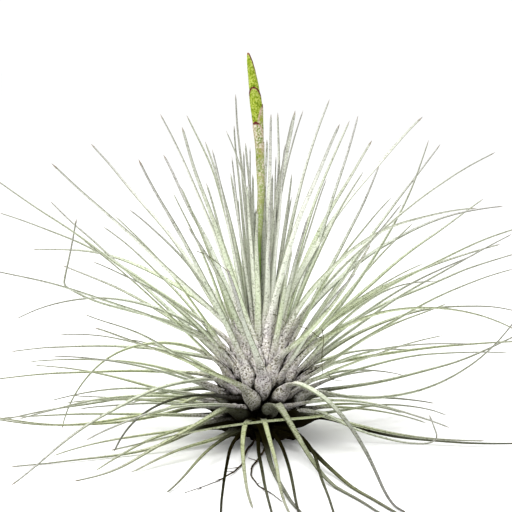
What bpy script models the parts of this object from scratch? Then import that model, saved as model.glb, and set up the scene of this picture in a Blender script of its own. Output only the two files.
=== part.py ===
"""Air plant: a bulbous grey rosette of thread-like leaves on a short stem, with a budding flower spike.

Run with: blender --background --python part.py
Metres, +Z up. The origin is the middle of the stem's flat cut end, on which the plant rests, and -Y is its
front. Every leaf, bract and root is a closed solid of its own, seated a hair's breadth from what bears it.
"""

import math

import bmesh
import bpy
from mathutils import Matrix, Vector
from mathutils.bvhtree import BVHTree

MM = 0.001
CLEARANCE = 0.3 * MM

# Stem: a short woody cone, cut flat where it left its mother plant.
STEM_HEIGHT = 25.0 * MM
STEM_FOOT_RADIUS = 6.0 * MM
STEM_TOP_RADIUS = 2.5 * MM
STEM_SIDES = 20

# Leaves: one spiral, oldest and lowest first, each turned by the golden angle from the one before.
LEAF_COUNT = 50
GOLDEN_ANGLE = math.radians(137.508)
FIRST_AZIMUTH = math.radians(-62.0)
LOWEST_LEAF = 6.0 * MM
HIGHEST_LEAF = 23.6 * MM
SHEATH_HALF_ANGLE = math.radians(23.5)
SHEATH_STATIONS = (0.0, 0.18, 0.38, 0.58, 0.78, 1.0)
BLADE_STATIONS = 9
# The corners of a leaf's section, as shares of its width and thickness.
LEAF_SECTION = ((-0.5, 0.0), (-0.25, -0.5), (0.25, -0.5), (0.5, 0.0), (0.25, 0.5), (-0.25, 0.5))
SPINE_STEP = 1.0 * MM
RESTING_HEIGHT = 0.62 * MM
FLOOR_SOFTNESS = 1.6 * MM

# Spike: a leaning stalk wrapped in overlapping bracts, the last of them a closed bud.
SPIKE_FOOT = STEM_HEIGHT + CLEARANCE
SPIKE_TOP = 147.0 * MM
SPIKE_LEAN = -5.6 * MM
STALK_RADIUS = 0.85 * MM
BRACT_THICKNESS = 0.45 * MM
BRACT_HALF_WRAP = math.radians(128.0)
BUD_FOOT = 121.0 * MM
BRACT_FEET = (62.0 * MM, 78.0 * MM, 94.0 * MM, 109.0 * MM)
BRACT_LENGTH = 24.0 * MM
# How much wider than its foot each bract opens, to hold the next one's foot.
BRACT_ROOM = (1.05 * MM, 1.05 * MM, 1.1 * MM, 1.25 * MM)
# Share of a bract's length, how far it has opened there, and how much of its wrap it keeps.
BRACT_STATIONS = (
    (0.0, 0.0, 1.0),
    (0.25, 0.15, 1.0),
    (0.48, 0.85, 1.0),
    (0.8, 1.0, 0.8),
    (0.95, 1.0, 0.42),
)

# Roots: wiry, from the side of the stem's foot to the ground.
ROOT_RADIUS = 0.5 * MM
ROOT_SIDES = 6
ROOTS = (
    # azimuth, length, wander in degrees
    (-110.0, 78.0 * MM, 16.0),
    (-84.0, 84.0 * MM, -18.0),
    (75.0, 48.0 * MM, 46.0),
)

# Each leaf's habit, oldest first: rise, tip rise, swing, drift, length of its blade.
# Rise is the blade's angle above level where it leaves its sheath, and tip rise its angle at the tip.
# Swing turns the blade from its sheath's heading, anticlockwise from above; drift turns it on by its tip.
# Angles are in degrees and lengths in millimetres.
HABITS = (
    (-5, -40, -6, 2, 112),
    (-8, -16, 0, 10, 92),
    (-20, -12, -6, -6, 78),
    (-20, 12, 0, 4, 92),
    (-8, -10, 10, 8, 84),
    (-12, -30, 12, 6, 100),
    (-4, -14, -24, 6, 56),
    (-18, 12, 0, -4, 88),
    (-16, 4, 22, 8, 66),
    (-4, -14, -5, -10, 88),
    (-16, -18, -9, -5, 70),
    (4, 30, -8, 0, 90),
    (-8, -14, 24, 4, 90),
    (-20, -30, 4, 6, 100),
    (8, -12, -8, -12, 88),
    (-20, 18, -3, 0, 88),
    (-14, 66, 12, 4, 92),
    (30, 10, 26, 6, 96),
    (26, 20, -24, -4, 78),
    (34, -16, -6, -4, 98),
    (2, -8, 4, 4, 92),
    (10, -60, -14, 4, 104),
    (30, 10, -4, -10, 88),
    (6, -42, 0, -4, 96),
    (14, -2, 0, 0, 94),
    (6, -10, 18, 10, 94),
    (45, 52, -22, 0, 56),
    (34, 6, -20, -6, 104),
    (34, -84, 0, 0, 76),
    (46, -34, 14, 4, 98),
    (56, 50, 26, 6, 88),
    (58, 56, -12, -6, 90),
    (28, 12, 0, 0, 98),
    (36, -30, 6, 0, 92),
    (30, 58, 10, 16, 66),
    (60, 46, -22, -8, 92),
    (28, 14, -6, -4, 100),
    (38, 20, 0, 0, 104),
    (36, -8, 20, 10, 108),
    (62, 66, -26, -8, 90),
    (48, 0, -10, -4, 110),
    (34, 34, 0, 0, 106),
    (64, 4, 14, 10, 94),
    (78, 72, -30, -10, 84),
    (42, 40, -10, -6, 102),
    (54, 26, 0, 0, 102),
    (48, 42, 8, 0, 94),
    (70, 60, 24, 20, 84),
    (58, 36, -20, -10, 104),
    (76, 62, -8, 0, 84),
)
# A leaf that would grow through another turns aside: offsets of its swing and rise, in the order tried.
TURNS_ASIDE = sorted(
    ((swing, rise) for swing in range(-15, 16, 3) for rise in range(-15, 16, 3)),
    key=lambda turn: (abs(turn[0]) + abs(turn[1]), turn),
)


def mix(a, b, t):
    """The value a share t of the way from a to b."""
    return a + (b - a) * t


def ease(t):
    """A share that starts and ends gently."""
    t = min(max(t, 0.0), 1.0)
    return t * t * (3.0 - 2.0 * t)


def clear_scene():
    """Removes every object of the startup scene."""
    for thing in list(bpy.data.objects):
        bpy.data.objects.remove(thing)


def make_material(name, colour, roughness):
    """A plain finish with its colour and roughness."""
    made = bpy.data.materials.new(name)
    made.use_nodes = True
    shader = made.node_tree.nodes["Principled BSDF"]
    shader.inputs["Base Color"].default_value = (*colour, 1.0)
    shader.inputs["Roughness"].default_value = roughness
    shader.inputs["Metallic"].default_value = 0.0
    return made


def skin(rings, tip):
    """The points and faces of a closed solid through rings of as many points each, flat at its foot."""
    count = len(rings[0])
    points = [point for ring in rings for point in ring] + [tip]
    faces = [tuple(range(count))]
    for level in range(len(rings) - 1):
        for i in range(count):
            low, after = level * count + i, level * count + (i + 1) % count
            faces.append((low, after, after + count, low + count))
    top = (len(rings) - 1) * count
    faces += [(top + i, top + (i + 1) % count, len(points) - 1) for i in range(count)]
    return points, faces


def link_solid(name, points, faces, material):
    """Makes a node of a closed solid, shaded smooth. It gives the solid's faces, for telling contact."""
    mesh = bpy.data.meshes.new(name)
    mesh.from_pydata(points, [], faces)
    build = bmesh.new()
    build.from_mesh(mesh)
    bmesh.ops.recalc_face_normals(build, faces=build.faces)
    build.to_mesh(mesh)
    build.free()
    mesh.shade_smooth()
    mesh.set_sharp_from_angle(angle=math.radians(50.0))
    mesh.materials.append(material)
    made = bpy.data.objects.new(name, mesh)
    bpy.context.scene.collection.objects.link(made)
    return BVHTree.FromPolygons(points, faces)


# Stem --------------------------------------------------------------------------------------------------


def stem_radius(height):
    """The stem's radius at a height."""
    return mix(STEM_FOOT_RADIUS, STEM_TOP_RADIUS, height / STEM_HEIGHT)


def make_stem(material):
    """The woody stem, with its flat foot."""
    rings = []
    for height in (0.0, STEM_HEIGHT / 2.0, STEM_HEIGHT - 0.6 * MM):
        radius = stem_radius(height)
        turns = [2.0 * math.pi * i / STEM_SIDES for i in range(STEM_SIDES)]
        rings.append([Vector((radius * math.cos(a), radius * math.sin(a), height)) for a in turns])
    return link_solid("stem", *skin(rings, Vector((0.0, 0.0, STEM_HEIGHT))), material)


# Leaves ------------------------------------------------------------------------------------------------


def leaf_spine(number, turned=(0, 0)):
    """The leaf's middle line, as (place, rise, heading) at each SPINE_STEP, and its sheath's length."""
    youth = number / (LEAF_COUNT - 1)
    rise, tip_rise, swing, drift, length_mm = HABITS[number]
    swing, rise = swing + turned[0], rise + turned[1]
    azimuth = FIRST_AZIMUTH + number * GOLDEN_ANGLE
    start_rise = mix(-24.0, 56.0, youth)
    belly_rise = mix(24.0, 90.0, youth**0.6)
    sheath = mix(20.0, 23.0, youth) * MM
    length = sheath + length_mm * MM
    foot = mix(LOWEST_LEAF, HIGHEST_LEAF, youth)
    reach = stem_radius(foot) + 2.0 * CLEARANCE
    place = Vector((reach * math.cos(azimuth), reach * math.sin(azimuth), foot))
    spine = []
    for step in range(round(length / SPINE_STEP) + 1):
        along = step * SPINE_STEP
        if along < sheath:
            half = along / sheath * 2.0
            angle = mix(mix(start_rise, belly_rise, ease(half)), rise, ease(half - 1.0))
            heading = azimuth + math.radians(swing) * ease(half - 1.0)
        else:
            share = (along - sheath) / (length - sheath)
            angle = mix(rise, tip_rise, share)
            heading = azimuth + math.radians(swing + drift * share)
        angle = math.radians(angle)
        spine.append((rest_on_ground(place), angle, heading))
        flat = math.cos(angle)
        onward = Vector((flat * math.cos(heading), flat * math.sin(heading), math.sin(angle)))
        place = place + SPINE_STEP * onward
    return spine, sheath


def rest_on_ground(place):
    """The place, lifted softly so that what would sink lies along the ground."""
    depth = (place.z - RESTING_HEIGHT) / FLOOR_SOFTNESS
    height = RESTING_HEIGHT + FLOOR_SOFTNESS * (depth if depth > 20.0 else math.log1p(math.exp(depth)))
    return Vector((place.x, place.y, height))


def leaf_width(along, sheath, length, reach):
    """The leaf's width: a broad spoon of a sheath that narrows quickly into a long thread of a blade."""
    if along < sheath:
        spoon = mix(4.4, 10.0, ease(along / sheath * 2.2))
        width = mix(spoon, 2.7, ease((along / sheath - 0.5) * 2.0)) * MM
    else:
        width = mix(2.7, 0.75, ((along - sheath) / (length - sheath)) ** 0.6) * MM
    return min(width, 2.0 * reach * SHEATH_HALF_ANGLE)


def leaf_thickness(along, sheath, length, youth):
    """The leaf's thickness: a fleshy sheath, thinner on the young inner leaves, then a wiry blade."""
    fleshy = mix(1.35, 0.75, youth)
    if along < sheath:
        return mix(fleshy, 1.2, ease(along / sheath * 2.0 - 1.0)) * MM
    return mix(1.2, 0.65, ((along - sheath) / (length - sheath)) ** 0.6) * MM


def leaf_section(place, angle, heading, width, thickness, wrapped):
    """The leaf's section there: wrapped round the plant on a sheath, and straight on a blade."""
    steep = math.sin(angle)
    upper_side = Vector((-steep * math.cos(heading), -steep * math.sin(heading), math.cos(angle)))
    side = Vector((-math.sin(heading), math.cos(heading), 0.0))
    ring = []
    for across, over in LEAF_SECTION:
        point = place + upper_side * (over * thickness)
        if wrapped:
            ring.append(Matrix.Rotation(across * width / max(place.xy.length, 3.0 * MM), 3, "Z") @ point)
        else:
            ring.append(point + side * (across * width))
    return ring


def leaf_skin(number, turned, room):
    """The points and faces of a leaf, sheath and blade in one piece, its blade swollen by the room."""
    spine, sheath = leaf_spine(number, turned)
    youth = number / (LEAF_COUNT - 1)
    length = (len(spine) - 1) * SPINE_STEP
    stations = [share * sheath for share in SHEATH_STATIONS]
    stations += [mix(sheath, length, i / BLADE_STATIONS) for i in range(1, BLADE_STATIONS)]
    rings = []
    for along in stations:
        place, angle, heading = spine[round(along / SPINE_STEP)]
        swell = room if along > sheath * 0.5 else 0.0
        width = leaf_width(along, sheath, length, place.xy.length) + swell
        thickness = leaf_thickness(along, sheath, length, youth) + swell
        rings.append(leaf_section(place, angle, heading, width, thickness, along < sheath))
    return skin(rings, spine[-1][0])


def make_leaf(number, grown, material):
    """One leaf, turned aside just enough to clear all that has grown already."""
    for turned in TURNS_ASIDE:
        roomy = BVHTree.FromPolygons(*leaf_skin(number, turned, CLEARANCE))
        if not any(roomy.overlap(other) for other in grown):
            break
    else:
        turned = TURNS_ASIDE[0]
    grown.append(link_solid(f"leaf_{number + 1:02d}", *leaf_skin(number, turned, 0.0), material))


# Spike -------------------------------------------------------------------------------------------------


def spike_axis(height):
    """The spike's middle at a height. It leans more and more to the side as it rises."""
    share = (height - SPIKE_FOOT) / (SPIKE_TOP - SPIKE_FOOT)
    return Vector((SPIKE_LEAN * share**1.8, 0.0, height))


def spike_ring(height, radius, sides):
    """A round section of the spike."""
    middle = spike_axis(height)
    turns = (2.0 * math.pi * i / sides for i in range(sides))
    return [middle + radius * Vector((math.cos(turn), math.sin(turn), 0.0)) for turn in turns]


def make_stalk(material):
    """The stalk inside the bracts, from the stem's top to just under the bud."""
    top = BUD_FOOT - CLEARANCE
    heights = [mix(SPIKE_FOOT, top - 1.2 * MM, i / 8) for i in range(9)]
    rings = [spike_ring(height, STALK_RADIUS, 8) for height in heights]
    return link_solid("spike_stalk", *skin(rings, spike_axis(top)), material)


def make_bud(material):
    """The topmost bract, closed round the growing point."""
    sizes = ((0.0, 1.25), (0.12, 1.75), (0.32, 2.05), (0.55, 1.85), (0.78, 1.2), (0.93, 0.5))
    rings = [spike_ring(mix(BUD_FOOT, SPIKE_TOP, share), radius * MM, 12) for share, radius in sizes]
    return link_solid("bract_5_bud", *skin(rings, spike_axis(SPIKE_TOP)), material)


def make_bract(order, foot, material):
    """A bract that wraps the stalk, then opens round the foot of the next one and ends in a blunt point."""
    turn = math.radians(200.0 + 137.5 * order)
    inner_foot = STALK_RADIUS + CLEARANCE
    room = BRACT_ROOM[order]
    rings = []
    for share, opening, wrap in BRACT_STATIONS:
        middle = spike_axis(foot + share * BRACT_LENGTH)
        inner = inner_foot + opening * room
        turns = [turn + BRACT_HALF_WRAP * wrap * (i - 4) / 4.0 for i in range(9)]
        spokes = [Vector((math.cos(a), math.sin(a), 0.0)) for a in turns]
        outside = [middle + (inner + BRACT_THICKNESS) * spoke for spoke in spokes]
        inside = [middle + inner * spoke for spoke in reversed(spokes)]
        rings.append(outside + inside)
    reach = inner_foot + room + BRACT_THICKNESS / 2.0
    tip = spike_axis(foot + BRACT_LENGTH) + reach * Vector((math.cos(turn), math.sin(turn), 0.0))
    return link_solid(f"bract_{order + 1}", *skin(rings, tip), material)


# Roots -------------------------------------------------------------------------------------------------


def make_root(order, azimuth, length, wander, material):
    """A wiry root that leaves the side of the foot and winds along the ground."""
    heading = math.radians(azimuth)
    start = stem_radius(2.2 * MM) + CLEARANCE
    place = Vector((start * math.cos(heading), start * math.sin(heading), 2.2 * MM))
    steps = 14
    rings = []
    for step in range(steps):
        share = step / steps
        turn = heading + math.radians(wander * math.sin(share * 5.5))
        dip = math.radians(mix(-32.0, 0.0, ease(share * 5.0)))
        forward = Vector((math.cos(turn) * math.cos(dip), math.sin(turn) * math.cos(dip), math.sin(dip)))
        side = Vector((-math.sin(turn), math.cos(turn), 0.0))
        over = forward.cross(side)
        radius = ROOT_RADIUS * mix(1.0, 0.6, share)
        place.z = max(place.z, ROOT_RADIUS + 0.02 * MM)
        turns = [2.0 * math.pi * i / ROOT_SIDES for i in range(ROOT_SIDES)]
        rings.append([place + radius * (side * math.cos(a) + over * math.sin(a)) for a in turns])
        place = place + forward * (length / steps)
    return link_solid(f"root_{order + 1}", *skin(rings, place), material)


def main():
    clear_scene()
    wood = make_material("stem_wood", (0.10, 0.07, 0.045), 0.9)
    scurfy = make_material("leaf_scurf", (0.50, 0.53, 0.42), 0.85)
    lime = make_material("bract_green", (0.50, 0.58, 0.16), 0.55)
    stalk_green = make_material("stalk_green", (0.40, 0.47, 0.22), 0.6)
    wiry = make_material("root_fibre", (0.07, 0.045, 0.025), 0.8)
    grown = [make_stem(wood), make_stalk(stalk_green)]
    grown += [make_bract(order, foot, lime) for order, foot in enumerate(BRACT_FEET)]
    grown.append(make_bud(lime))
    grown += [make_root(order, *root, wiry) for order, root in enumerate(ROOTS)]
    for number in range(LEAF_COUNT):
        make_leaf(number, grown, scurfy)


main()
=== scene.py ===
"""Air plant: a silvery bulbous rosette of thread-like leaves with a budding spike and a dark, wiry foot.

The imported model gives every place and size. Each of its solids is replaced by a finer piece: leaves and roots
follow the solid's own middle line, and the stem, the stalk and the bracts its height and lean. The thinnest
leaves, which the model leaves out, grow between them.
"""

import functools
import logging
import math
import random
from dataclasses import dataclass, field
from enum import Enum

import bmesh
import bpy
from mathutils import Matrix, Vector, noise
from mathutils.bvhtree import BVHTree


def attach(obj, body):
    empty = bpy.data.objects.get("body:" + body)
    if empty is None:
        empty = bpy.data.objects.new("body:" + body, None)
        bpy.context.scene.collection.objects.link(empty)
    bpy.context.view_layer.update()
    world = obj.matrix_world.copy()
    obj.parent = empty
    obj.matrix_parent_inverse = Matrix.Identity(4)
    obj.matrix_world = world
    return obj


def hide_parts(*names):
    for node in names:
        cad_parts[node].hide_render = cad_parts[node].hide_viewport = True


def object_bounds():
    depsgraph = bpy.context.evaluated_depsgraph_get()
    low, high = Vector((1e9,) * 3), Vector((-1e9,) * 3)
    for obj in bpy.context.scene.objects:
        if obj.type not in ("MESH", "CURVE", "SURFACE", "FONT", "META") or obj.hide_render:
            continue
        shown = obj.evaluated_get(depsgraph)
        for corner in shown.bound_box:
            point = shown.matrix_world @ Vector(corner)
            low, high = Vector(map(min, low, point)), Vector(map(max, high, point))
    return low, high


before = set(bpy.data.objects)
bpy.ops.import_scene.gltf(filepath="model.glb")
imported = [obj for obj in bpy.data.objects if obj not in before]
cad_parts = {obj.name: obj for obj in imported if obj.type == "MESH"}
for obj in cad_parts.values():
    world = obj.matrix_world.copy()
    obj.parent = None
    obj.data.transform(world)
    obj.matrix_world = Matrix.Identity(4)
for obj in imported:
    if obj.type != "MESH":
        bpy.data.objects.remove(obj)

CAD_BOX = [list(corner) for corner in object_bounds()]

MM = 0.001
BODY = "root"
SEED = 4711
# The small natural bends of the leaves and roots start from this number.
WANDER_SEED = 1795144684
# The turn from one leaf to the next round the stem, in degrees.
GOLDEN_ANGLE = 137.508
# The lowest a fine leaf's middle line may lie, in metres, and the farthest it may reach, in millimetres.
LOWEST = 0.7 * MM
SPREAD = 111.0
STEM_HEIGHT = 25.0 * MM
LOG = logging.getLogger("air_plant")


class Slot(Enum):
    """The record's material slots."""

    LEAF = "leaf"
    BRACT = "bract"
    STALK = "stalk"
    STEM = "stem"
    ROOT = "root"


class Channel(Enum):
    """Numbers kept at each point of a piece, which its finish reads."""

    ALONG = "along"
    EDGE = "edge"
    UNDER = "under"
    SHEATH = "sheath"
    YOUTH = "youth"
    TONE = "tone"
    DARK = "dark"
    # Painted shade: the share of what a point faces that is another leaf.
    CROWD = "crowd"


# Small sums -------------------------------------------------------------------------------------------------


def mix(a: float, b: float, share: float) -> float:
    """The value a share of the way from a to b."""
    return a + (b - a) * share


def ease(share: float) -> float:
    """A share that starts and ends gently, kept between 0 and 1."""
    kept = min(max(share, 0.0), 1.0)
    return kept * kept * (3.0 - 2.0 * kept)


def profile(stops: tuple[tuple[float, float], ...], at: float) -> float:
    """Reads a smooth profile.

    Args:
        stops: places and their values, in order of place.
        at: the place to read.

    Returns:
        The value there, eased between its two stops.
    """
    if at <= stops[0][0]:
        return stops[0][1]
    for (low, first), (high, second) in zip(stops, stops[1:]):
        if at <= high:
            return mix(first, second, ease((at - low) / (high - low)))
    return stops[-1][1]


# Shapes -----------------------------------------------------------------------------------------------------


@dataclass
class Spine:
    """The middle line of a long piece, as points an even step apart."""

    points: list[Vector]
    step: float = 2.0 * MM

    @classmethod
    def through(cls, knots: list[Vector], step: float) -> "Spine":
        """Lays a smooth line through a few knots.

        Args:
            knots: the points to pass through, from foot to tip.
            step: how far apart the line's own points are, in metres.

        Returns:
            The line.
        """
        held = [knots[0] * 2.0 - knots[1], *knots, knots[-1] * 2.0 - knots[-2]]
        cuts = 12
        dense: list[Vector] = []
        for i in range(1, len(held) - 2):
            a, b, c, d = held[i - 1 : i + 3]
            for j in range(cuts):
                t = j / cuts
                even = 2.0 * b + (c - a) * t
                bent = (2.0 * a - 5.0 * b + 4.0 * c - d) * t * t + (3.0 * b - a - 3.0 * c + d) * t * t * t
                dense.append(0.5 * (even + bent))
        dense.append(knots[-1].copy())
        return cls(dense).evened(step)

    def length(self) -> float:
        """Its length in metres."""
        return sum((b - a).length for a, b in zip(self.points, self.points[1:]))

    def evened(self, step: float) -> "Spine":
        """Spreads its points evenly.

        Args:
            step: about how far apart they should be, in metres.

        Returns:
            The same line with its points that far apart.
        """
        total = self.length()
        count = max(6, round(total / step))
        placed = [self.points[0].copy()]
        walked, wanted = 0.0, total / count
        for a, b in zip(self.points, self.points[1:]):
            span = (b - a).length
            while span > 0.0 and walked + span >= wanted - 1e-9 and len(placed) < count:
                placed.append(a.lerp(b, (wanted - walked) / span))
                wanted += total / count
            walked += span
        placed.append(self.points[-1].copy())
        return Spine(placed, total / count)

    def rounded(self, passes: int) -> "Spine":
        """The same line with its tight bends eased.

        Args:
            passes: how often each point is drawn towards its neighbours.

        Returns:
            The eased line, with the same ends.
        """
        points = self.points
        for _ in range(passes):
            inner = [(a + b * 2.0 + c) * 0.25 for a, b, c in zip(points, points[1:], points[2:])]
            points = [points[0], *inner, points[-1]]
        return Spine(points, self.step)

    def wavered(self, amount: float, size: float, seed: float, floor: float) -> "Spine":
        """The same line with small natural bends that grow towards its tip.

        Args:
            amount: how far its tip may stray, in metres.
            size: the length of a bend, in metres.
            seed: which of the many ways it strays.
            floor: the lowest a point may lie, in metres.

        Returns:
            The bent line.
        """
        bent = []
        last = len(self.points) - 1
        for i, point in enumerate(self.points):
            share = i / last
            at = Vector((i * self.step / size, seed * 17.3, seed * 5.1))
            stray = noise.noise_vector(at) * (amount * ease(share * 2.0) * (0.4 + 0.6 * share))
            moved = point + stray
            moved.z = max(moved.z, min(floor, point.z))
            bent.append(moved)
        return Spine(bent, self.step)

    def frames(self, side: Vector) -> list[tuple[Vector, Vector]]:
        """Carries a side direction along the line without twist.

        Args:
            side: the direction across the line at its foot.

        Returns:
            The side and upper directions at each point.
        """
        found = []
        for i in range(len(self.points)):
            ahead = self.points[min(i + 1, len(self.points) - 1)]
            forward = (ahead - self.points[max(i - 1, 0)]).normalized()
            side = (side - forward * side.dot(forward)).normalized()
            found.append((side.copy(), forward.cross(side)))
        return found


@dataclass
class Section:
    """One cross-section of a lofted piece."""

    centre: Vector
    side: Vector
    over: Vector
    width: float
    thickness: float
    cup: float = 0.0
    groove: float = 0.0
    marks: dict[Channel, float] = field(default_factory=dict)

    def ring(self, sides: int) -> list[Vector]:
        """Its outline.

        Args:
            sides: how many points it has.

        Returns:
            The points, from one edge round by the upper side.
        """
        outline = []
        for i in range(sides):
            turn = 2.0 * math.pi * i / sides
            across, up = math.cos(turn), math.sin(turn)
            lift = self.cup * (across * across - 0.4)
            hollow = self.groove * (1.0 - across * across) if up > 0.0 else 0.0
            height = lift + up * self.thickness * 0.5 * (1.0 - hollow)
            outline.append(self.centre + self.side * (across * self.width * 0.5) + self.over * height)
        return outline


@dataclass
class Growth:
    """The skin of one piece while it is being made."""

    points: list[Vector] = field(default_factory=list)
    faces: list[tuple[int, ...]] = field(default_factory=list)
    marks: dict[Channel, list[float]] = field(default_factory=lambda: {channel: [] for channel in Channel})

    def add(self, point: Vector, marks: dict[Channel, float]) -> int:
        """Adds a point.

        Args:
            point: where it is.
            marks: its marks, which are 0 where they aren't given.

        Returns:
            Its number.
        """
        self.points.append(point)
        for channel, values in self.marks.items():
            values.append(marks.get(channel, 0.0))
        return len(self.points) - 1

    def loft(self, sections: list[Section], tip: Vector, sides: int) -> None:
        """Skins a row of cross-sections, closed flat at the first and to a point at the tip.

        Args:
            sections: the cross-sections, from foot to tip.
            tip: the point it ends in.
            sides: how many points each outline has.
        """
        first = len(self.points)
        for section in sections:
            for i, point in enumerate(section.ring(sides)):
                turn = 2.0 * math.pi * i / sides
                own = {Channel.EDGE: abs(math.cos(turn)), Channel.UNDER: 0.5 - 0.5 * math.sin(turn)}
                self.add(point, section.marks | own)
        end = self.add(tip, sections[-1].marks | {Channel.EDGE: 0.5, Channel.UNDER: 0.5, Channel.ALONG: 1.0})
        self.faces.append(tuple(range(first + sides - 1, first - 1, -1)))
        for level in range(len(sections) - 1):
            for i in range(sides):
                low = first + level * sides + i
                after = first + level * sides + (i + 1) % sides
                self.faces.append((low, after, after + sides, low + sides))
        top = first + (len(sections) - 1) * sides
        self.faces += [(top + i, top + (i + 1) % sides, end) for i in range(sides)]

    def shell(self, rows: list[list[tuple[Vector, Vector, dict[Channel, float]]]]) -> None:
        """Skins a thin curved sheet that has an outer and an inner face.

        Args:
            rows: the sheet's rows from foot to tip, each a list of outer point, inner point and marks.
        """
        numbers = []
        for row in rows:
            outer = [self.add(point, marks) for point, _, marks in row]
            inner = [self.add(point, marks | {Channel.UNDER: 1.0}) for _, point, marks in row]
            numbers.append(outer + inner[::-1])
        self.bridge(numbers)

    def bridge(self, numbers: list[list[int]]) -> None:
        """Skins a row of rings of points and closes the first and the last.

        Args:
            numbers: the numbers of each ring's points.
        """
        around = len(numbers[0])
        self.faces.append(tuple(reversed(numbers[0])))
        self.faces.append(tuple(numbers[-1]))
        for low, high in zip(numbers, numbers[1:]):
            for i in range(around):
                after = (i + 1) % around
                self.faces.append((low[i], low[after], high[after], high[i]))

    def link(self, name: str) -> bpy.types.Object:
        """Makes the smooth object with its marks and puts it into the scene.

        Args:
            name: its name.

        Returns:
            The object.
        """
        mesh = bpy.data.meshes.new(name)
        mesh.from_pydata(self.points, [], self.faces)
        for channel, values in self.marks.items():
            mesh.attributes.new(channel.value, "FLOAT", "POINT").data.foreach_set("value", values)
        build = bmesh.new()
        build.from_mesh(mesh)
        bmesh.ops.recalc_face_normals(build, faces=build.faces)
        build.to_mesh(mesh)
        build.free()
        mesh.shade_smooth()
        piece = bpy.data.objects.new(name, mesh)
        bpy.context.scene.collection.objects.link(piece)
        return piece


def add_wire(growth: Growth, line: Spine, thick: float, thin: float) -> None:
    """Adds a round tapering wire to a piece.

    Args:
        growth: the piece.
        line: its middle line.
        thick: its width at the foot, in metres.
        thin: its width near the tip, in metres.
    """
    sections = []
    frames = line.frames(Vector((0.3, 0.9, 0.1)))
    for i, ((side, over), point) in enumerate(zip(frames[:-1], line.points[:-1])):
        share = i / (len(line.points) - 1)
        width = mix(thick, thin, share) * (1.0 + 0.12 * math.sin(i * 2.3))
        sections.append(Section(point, side, over, width, width, marks={Channel.ALONG: share}))
    growth.loft(sections, line.points[-1], 8)


def dress(piece: bpy.types.Object, finish: bpy.types.Material, slot: Slot, *nodes: str) -> bpy.types.Object:
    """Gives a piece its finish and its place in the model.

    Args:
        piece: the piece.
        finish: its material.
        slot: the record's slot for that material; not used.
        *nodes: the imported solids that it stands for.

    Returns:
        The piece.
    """
    piece.data.materials.append(finish)
    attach(piece, BODY)
    if nodes:
        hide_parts(*nodes)
    return piece


def ring_middles(node: str) -> list[Vector]:
    """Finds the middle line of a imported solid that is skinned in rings.

    Args:
        node: the solid's name.

    Returns:
        The middles of its rings, from the one nearest the plant's axis, and last its tip.
    """
    build = bmesh.new()
    build.from_mesh(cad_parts[node].data)
    bmesh.ops.remove_doubles(build, verts=build.verts, dist=1e-6)
    start = min(build.verts, key=lambda v: (v.co.xy.length, v.co.z))
    tip = spread_from(start)[-1][0]
    layers = spread_from(tip)
    middles = [sum((v.co for v in layer), Vector()) / len(layer) for layer in layers]
    build.free()
    return middles[::-1]


def spread_from(start: bmesh.types.BMVert) -> list[list[bmesh.types.BMVert]]:
    """Sorts the points of a mesh by how many edges away from one of them they are.

    Args:
        start: the point to start from.

    Returns:
        The points in layers, nearest first.
    """
    seen, layers = {start}, [[start]]
    while True:
        found = []
        for vert in layers[-1]:
            for edge in vert.link_edges:
                other = edge.other_vert(vert)
                if other not in seen:
                    seen.add(other)
                    found.append(other)
        if not found:
            return layers
        layers.append(found)


# Finishes ---------------------------------------------------------------------------------------------------


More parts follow.
